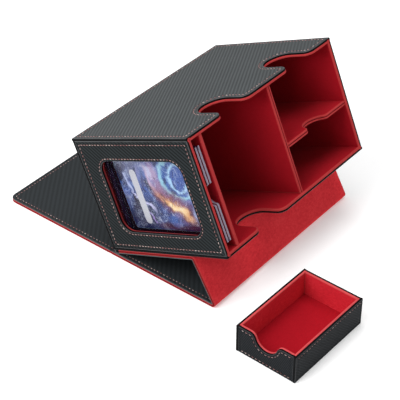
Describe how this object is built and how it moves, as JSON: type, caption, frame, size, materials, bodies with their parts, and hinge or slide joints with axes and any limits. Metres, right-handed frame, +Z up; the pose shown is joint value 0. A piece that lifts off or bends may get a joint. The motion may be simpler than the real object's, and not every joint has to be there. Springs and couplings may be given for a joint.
{
  "type": "card deck box",
  "caption": "Leather-wrapped card box with divided bays and a window slot, propped on its own folded cover, with a loose tray.",
  "frame": {"origin": "on the table, at the centre of the footprint of the box, its cover and the tray", "axes": "+Z up; the open front of the box faces -Y and its window end faces -X; +Y is the longest extent"},
  "size_m": [0.2008, 0.3064, 0.1416],
  "materials": {
    "leather": "fine ribbed carbon-look leather, satin",
    "suede": "short brushed suede, matt",
    "board": "grey-brown bookbinding board",
    "clear_sheet": "clear rigid sheet",
    "card": "coated playing card",
    "magnet": "nickel-plated magnet"
  },
  "bodies": {
    "base": {"front_panel_skin": "leather", "front_panel_board": "board", "front_panel_suede": "suede", "front_fold": "suede", "flap_fold": "leather"},
    "brace": {"brace_skin": "leather", "brace_board": "board", "brace_suede": "suede", "brace_fold": "suede"},
    "rear_panel": {"rear_panel_skin": "leather", "rear_panel_board": "board", "rear_panel_suede": "suede", "rear_fold": "leather"},
    "box": {"top_wall_skin": "leather", "top_wall_board": "board", "bottom_wall_skin": "leather", "bottom_wall_board": "board", "back_wall_skin": "leather", "back_wall_board": "board", "window_end_skin": "leather", "window_end_board": "board", "plain_end_skin": "leather", "plain_end_board": "board", "top_lining": "suede", "bottom_lining": "suede", "back_lining": "suede", "window_end_lining": "suede", "plain_end_lining": "suede", "window_pane": "clear_sheet", "top_magnet_left": "magnet", "top_magnet_right": "magnet", "slot_divider_board": "board", "slot_divider_suede": "suede", "centre_divider_left": "suede", "centre_divider_right": "suede", "shelf_lower": "suede", "shelf_upper": "suede"},
    "flap": {"flap_skin": "leather", "flap_board": "board", "flap_suede": "suede", "flap_magnet_left": "magnet", "flap_magnet_right": "magnet"},
    "sleeve": {"sleeve_outer_sheet": "clear_sheet", "sleeve_inner_sheet": "clear_sheet", "sleeve_edge_weld": "clear_sheet"},
    "card": {"display_card": "card"},
    "tray": {"tray_carton": "board", "tray_front_skin": "leather", "tray_back_skin": "leather", "tray_notch_end_skin": "leather", "tray_plain_end_skin": "leather", "tray_base_skin": "leather", "tray_front_lining": "suede", "tray_back_lining": "suede", "tray_notch_end_lining": "suede", "tray_plain_end_lining": "suede", "tray_floor_lining": "suede"}
  },
  "joints": [
    {"name": "stand_fold", "type": "hinge", "parent": "base", "child": "brace", "pos_m": [0.01295, -0.05695, 0.00335], "axis": [1, 0, 0], "range_deg": [-60, 0]},
    {"name": "rear_panel_fold", "type": "hinge", "parent": "brace", "child": "rear_panel", "pos_m": [0.01295, -0.03933, 0.0374], "axis": [1, 0, 0], "range_deg": [0, 83.23]},
    {"name": "box_tip", "type": "hinge", "parent": "rear_panel", "child": "box", "pos_m": [0.01295, 0.03603, 0.0051], "axis": [1, 0, 0], "range_deg": [-66, 0]},
    {"name": "flap_hinge", "type": "hinge", "parent": "base", "child": "flap", "pos_m": [0.01295, 0.04285, 0.0016], "axis": [1, 0, 0], "range_deg": [0, 60]},
    {"name": "sleeve_slide", "type": "slide", "parent": "box", "child": "sleeve", "axis": [0, -0.9191, 0.3939], "range_m": [0, 0.09]},
    {"name": "card_slide", "type": "slide", "parent": "sleeve", "child": "card", "axis": [0, -0.9191, 0.3939], "range_m": [0, 0.08]},
    {"name": "tray_lift", "type": "slide", "parent": "base", "child": "tray", "axis": [0, 0, 1], "range_m": [0, 0.045]}
  ],
  "couplings": [
    {"joint": "rear_panel_fold", "follows": "stand_fold", "ratio": -1.3865}
  ]
}
